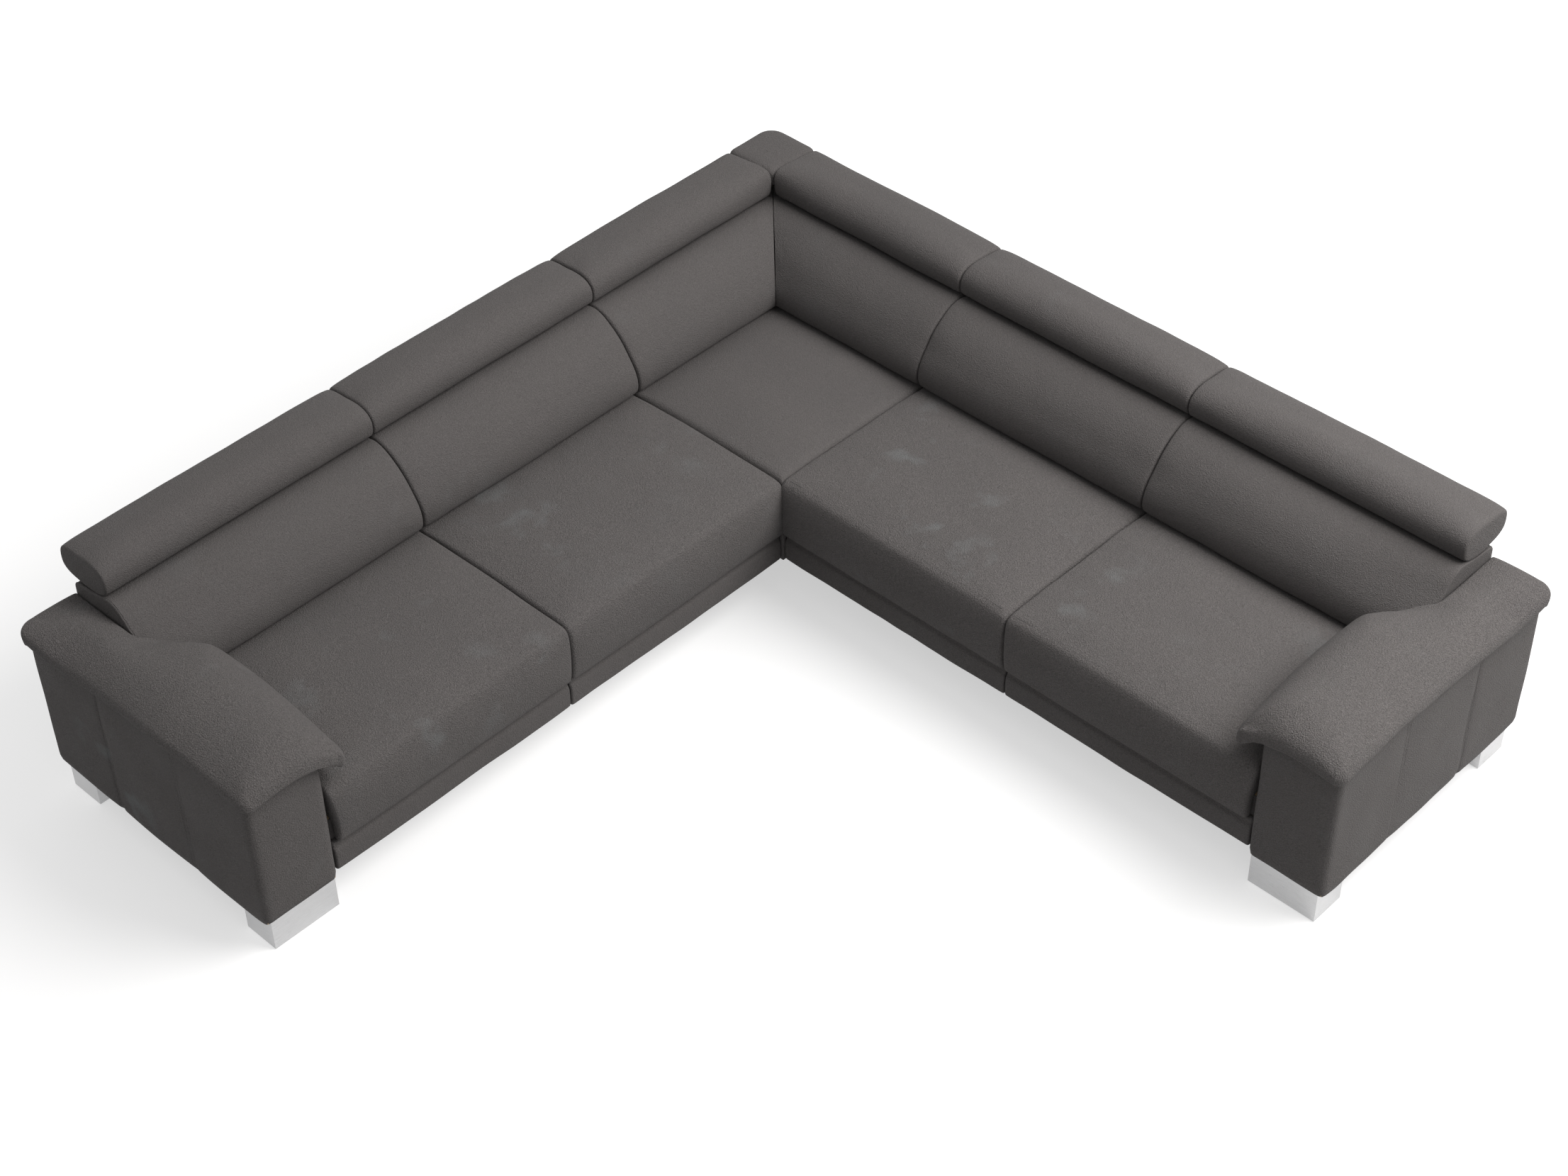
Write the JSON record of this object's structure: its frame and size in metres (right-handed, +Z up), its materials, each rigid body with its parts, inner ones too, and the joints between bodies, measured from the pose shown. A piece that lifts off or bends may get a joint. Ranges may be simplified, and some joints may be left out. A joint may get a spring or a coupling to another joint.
{
  "type": "corner sofa",
  "caption": "L-shaped corner sofa with equal wings, padded arms, folding headrests on ratchet hinges and metal block legs.",
  "frame": {"origin": "centre of the sofa's bounding box, on the floor", "axes": "+Z up; -Y is the front of the back wing, which runs along X; the other wing runs towards -Y at -X, and the corner is at -X, +Y"},
  "size_m": [2.848, 2.848, 0.7712],
  "materials": {
    "upholstery": "pebbled microfibre, dark warm grey",
    "timber": "planed softwood",
    "steel": "zinc plated",
    "chrome": "polished",
    "black_plastic": "moulded",
    "webbing": "woven elastic",
    "dust_cloth": "non-woven"
  },
  "bodies": {
    "base": {"corner_base_frame": "timber", "back_wing_base_frame": "timber", "side_wing_base_frame": "timber", "corner_back_frame": "timber", "back_wing_back_frame": "timber", "side_wing_back_frame": "timber", "back_wing_arm_frame": "timber", "side_wing_arm_frame": "timber", "seat_springs": "steel", "spring_clips": "steel", "back_webbing": "webbing", "corner_seat_cushion": "upholstery", "back_wing_inner_seat_cushion": "upholstery", "back_wing_outer_seat_cushion": "upholstery", "side_wing_inner_seat_cushion": "upholstery", "side_wing_outer_seat_cushion": "upholstery", "back_wing_corner_back_cushion": "upholstery", "back_wing_inner_back_cushion": "upholstery", "back_wing_outer_back_cushion": "upholstery", "side_wing_corner_back_cushion": "upholstery", "side_wing_inner_back_cushion": "upholstery", "side_wing_outer_back_cushion": "upholstery", "corner_block": "upholstery", "back_wing_arm_cover": "upholstery", "back_wing_arm_pad": "upholstery", "back_wing_inner_band": "upholstery", "back_wing_outer_band": "upholstery", "side_wing_arm_cover": "upholstery", "side_wing_arm_pad": "upholstery", "side_wing_inner_band": "upholstery", "side_wing_outer_band": "upholstery", "corner_rear_cover": "upholstery", "back_wing_rear_cover": "upholstery", "side_wing_rear_cover": "upholstery", "dust_covers": "dust_cloth", "back_wing_front_leg": "chrome", "back_wing_rear_leg": "chrome", "side_wing_front_leg": "chrome", "side_wing_rear_leg": "chrome", "leg_glides": "black_plastic", "leg_screws": "steel", "support_feet": "black_plastic", "frame_bolts": "steel", "headrest_brackets": "steel", "hinge_screws": "steel"},
    "back_wing_corner_headrest_body": {"back_wing_corner_headrest": "upholstery", "back_wing_corner_hinge_arms": "steel"},
    "back_wing_inner_headrest_body": {"back_wing_inner_headrest": "upholstery", "back_wing_inner_hinge_arms": "steel"},
    "back_wing_outer_headrest_body": {"back_wing_outer_headrest": "upholstery", "back_wing_outer_hinge_arms": "steel"},
    "side_wing_corner_headrest_body": {"side_wing_corner_headrest": "upholstery", "side_wing_corner_hinge_arms": "steel"},
    "side_wing_inner_headrest_body": {"side_wing_inner_headrest": "upholstery", "side_wing_inner_hinge_arms": "steel"},
    "side_wing_outer_headrest_body": {"side_wing_outer_headrest": "upholstery", "side_wing_outer_hinge_arms": "steel"}
  },
  "joints": [
    {"name": "back_wing_corner_headrest_tilt", "type": "hinge", "parent": "base", "child": "back_wing_corner_headrest_body", "pos_m": [-0.85755, 1.386, 0.64], "axis": [-1, 0, 0], "range_deg": [0, 78]},
    {"name": "back_wing_inner_headrest_tilt", "type": "hinge", "parent": "base", "child": "back_wing_inner_headrest_body", "pos_m": [-0.081, 1.386, 0.64], "axis": [-1, 0, 0], "range_deg": [0, 78]},
    {"name": "back_wing_outer_headrest_tilt", "type": "hinge", "parent": "base", "child": "back_wing_outer_headrest_body", "pos_m": [0.775, 1.386, 0.64], "axis": [-1, 0, 0], "range_deg": [0, 78]},
    {"name": "side_wing_corner_headrest_tilt", "type": "hinge", "parent": "base", "child": "side_wing_corner_headrest_body", "pos_m": [-1.386, 0.85755, 0.64], "axis": [0, -1, 0], "range_deg": [0, 78]},
    {"name": "side_wing_inner_headrest_tilt", "type": "hinge", "parent": "base", "child": "side_wing_inner_headrest_body", "pos_m": [-1.386, 0.081, 0.64], "axis": [0, -1, 0], "range_deg": [0, 78]},
    {"name": "side_wing_outer_headrest_tilt", "type": "hinge", "parent": "base", "child": "side_wing_outer_headrest_body", "pos_m": [-1.386, -0.775, 0.64], "axis": [0, -1, 0], "range_deg": [0, 78]}
  ]
}
